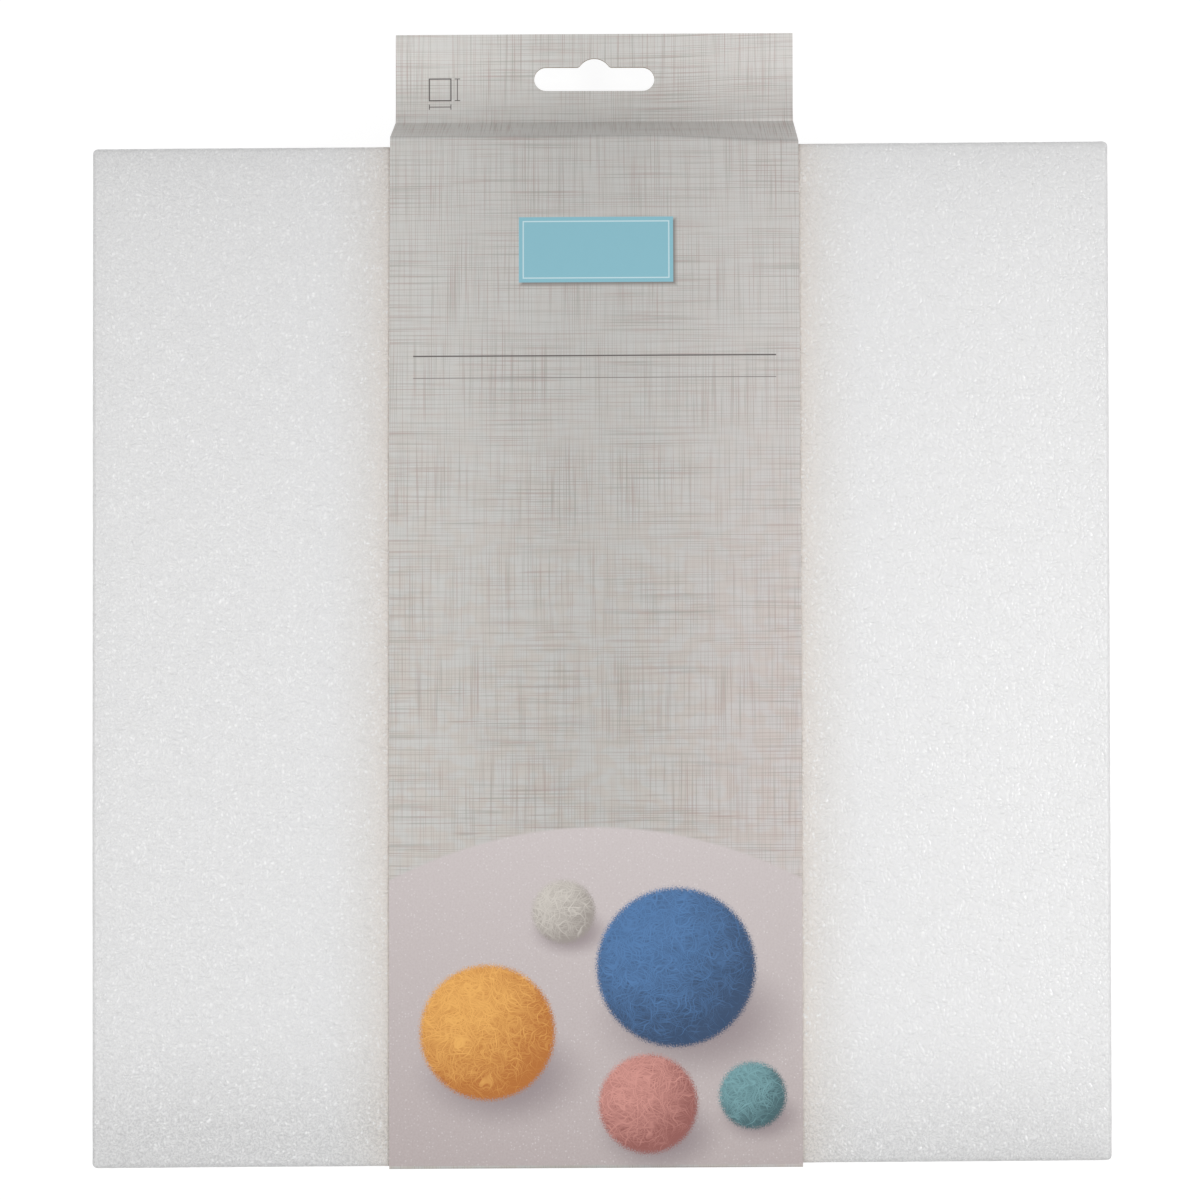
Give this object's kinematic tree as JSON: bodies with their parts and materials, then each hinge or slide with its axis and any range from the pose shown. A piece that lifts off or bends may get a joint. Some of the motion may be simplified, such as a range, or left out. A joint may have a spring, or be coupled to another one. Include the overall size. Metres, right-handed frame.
{
  "type": "needle felting mat",
  "caption": "Square block of closed-cell foam to felt on, held in a printed card sleeve that slides off sideways, with a gable head and a folding hang tab with a peg slot.",
  "frame": {"origin": "on the underside of the sleeve's back panel, below the middle of the foam block", "axes": "+X across the mat, the way the sleeve slides; +Y up the sleeve to the hang tab; +Z from the table up to the working face"},
  "size_m": [0.255, 0.2884, 0.0519],
  "materials": {
    "foam": "white closed-cell polyethylene foam with a fine sparkle of cells",
    "printed_card": "folding boxboard printed with a grey linen weave, satin",
    "glue": "dried packaging glue, pale and matte"
  },
  "bodies": {
    "foam_block": {"foam_block": "foam"},
    "card_sleeve": {"front_panel": "printed_card", "bottom_panel": "printed_card", "back_panel": "printed_card", "front_gable": "printed_card", "back_gable": "printed_card"},
    "hang_tab": {"front_tab_leaf": "printed_card", "back_tab_leaf": "printed_card", "left_glue_strip": "glue", "right_glue_strip": "glue"}
  },
  "joints": [
    {"name": "sleeve_slide", "type": "slide", "parent": "foam_block", "child": "card_sleeve", "axis": [1, 0, 0], "range_m": [-0.185, 0.185]},
    {"name": "hang_tab_fold", "type": "hinge", "parent": "card_sleeve", "child": "hang_tab", "pos_m": [-0.0015, 0.14325, 0.02575], "axis": [1, 0, 0], "range_deg": [-115, 115], "stiffness_Nm_per_rad": 0.002}
  ]
}
